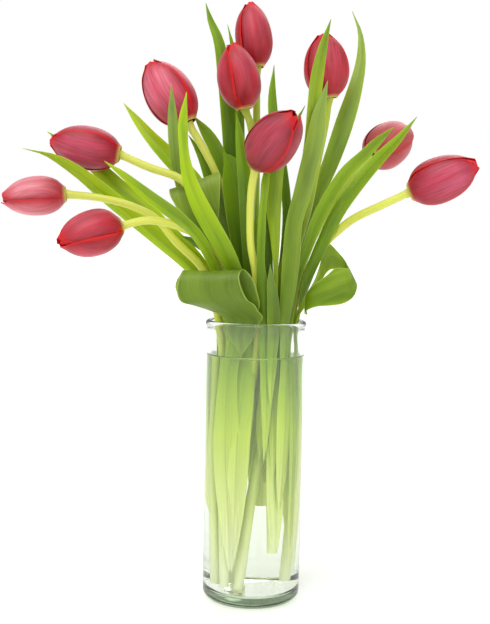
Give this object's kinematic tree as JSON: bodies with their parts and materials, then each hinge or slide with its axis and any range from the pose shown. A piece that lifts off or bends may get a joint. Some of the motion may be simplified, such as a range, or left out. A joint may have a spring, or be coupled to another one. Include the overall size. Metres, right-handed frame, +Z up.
{
  "type": "tulips in a vase",
  "caption": "Cut red tulips with arching leaves, fanned out wide from the mouth of a straight clear glass vase filled with water.",
  "frame": {"origin": "middle of the vase's foot, on the surface that it stands on", "axes": "+Z up along the vase, +X to the right of the bunch, -Y towards its front"},
  "size_m": [0.4074, 0.1694, 0.5351],
  "materials": {
    "glass": "clear, polished, slightly green in its thick floor",
    "water": "clear",
    "stem": "smooth, waxy",
    "leaf": "satin with fine parallel veins",
    "petal": "satin"
  },
  "bodies": {
    "root": {"vase": "glass", "water": "water", "tulip_1_stem": "stem", "tulip_1_outer_petals": "petal", "tulip_1_inner_petals": "petal", "tulip_2_stem": "stem", "tulip_2_outer_petals": "petal", "tulip_2_inner_petals": "petal", "tulip_3_stem": "stem", "tulip_3_outer_petals": "petal", "tulip_3_inner_petals": "petal", "tulip_4_stem": "stem", "tulip_4_outer_petals": "petal", "tulip_4_inner_petals": "petal", "tulip_5_stem": "stem", "tulip_5_outer_petals": "petal", "tulip_5_inner_petals": "petal", "tulip_6_stem": "stem", "tulip_6_outer_petals": "petal", "tulip_6_inner_petals": "petal", "tulip_7_stem": "stem", "tulip_7_outer_petals": "petal", "tulip_7_inner_petals": "petal", "tulip_8_stem": "stem", "tulip_8_outer_petals": "petal", "tulip_8_inner_petals": "petal", "tulip_9_stem": "stem", "tulip_9_outer_petals": "petal", "tulip_9_inner_petals": "petal", "tulip_10_stem": "stem", "tulip_10_outer_petals": "petal", "tulip_10_inner_petals": "petal", "leaf_far_left": "leaf", "leaf_left_low": "leaf", "leaf_left_middle": "leaf", "leaf_left_upper": "leaf", "leaf_left_narrow": "leaf", "leaf_front_left": "leaf", "leaf_back_left": "leaf", "leaf_left_short": "leaf", "leaf_tall_left": "leaf", "leaf_thin_back": "leaf", "leaf_centre_edge": "leaf", "leaf_centre_point": "leaf", "leaf_centre_right": "leaf", "leaf_centre_broad": "leaf", "leaf_front_right": "leaf", "leaf_channelled": "leaf", "leaf_tall_right": "leaf", "leaf_right_upper": "leaf", "leaf_right_outer": "leaf", "leaf_centre_narrow": "leaf", "leaf_front_wedge": "leaf", "leaf_dark_left": "leaf", "leaf_arched_back": "leaf", "leaf_front_curled": "leaf", "leaf_right_loop": "leaf", "leaf_arched_left": "leaf"}
  },
  "joints": []
}
